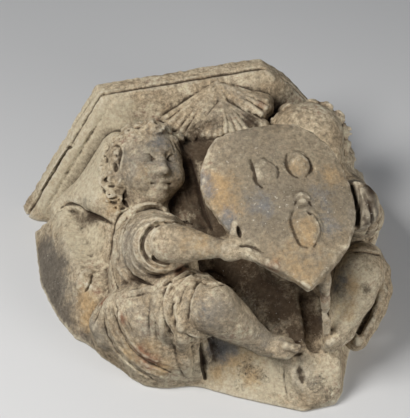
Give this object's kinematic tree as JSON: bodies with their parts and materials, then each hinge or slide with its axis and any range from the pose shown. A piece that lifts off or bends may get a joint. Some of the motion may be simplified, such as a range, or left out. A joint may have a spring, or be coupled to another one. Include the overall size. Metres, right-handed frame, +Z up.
{
  "type": "corbel",
  "caption": "Carved limestone wall corbel: seated child figures in pleated tunics hold a bulging shield under a splayed, moulded abacus; worn and broken in places.",
  "frame": {"origin": "On the wall face behind the middle of the shield, 205 mm under the flat top bed", "axes": "X along the wall to the right as seen from the room, Y into the wall, Z up"},
  "size_m": [0.4124, 0.2394, 0.387],
  "materials": {
    "limestone": "weathered carved limestone with grey patina"
  },
  "bodies": {
    "root": {"corbel": "limestone"}
  },
  "joints": []
}
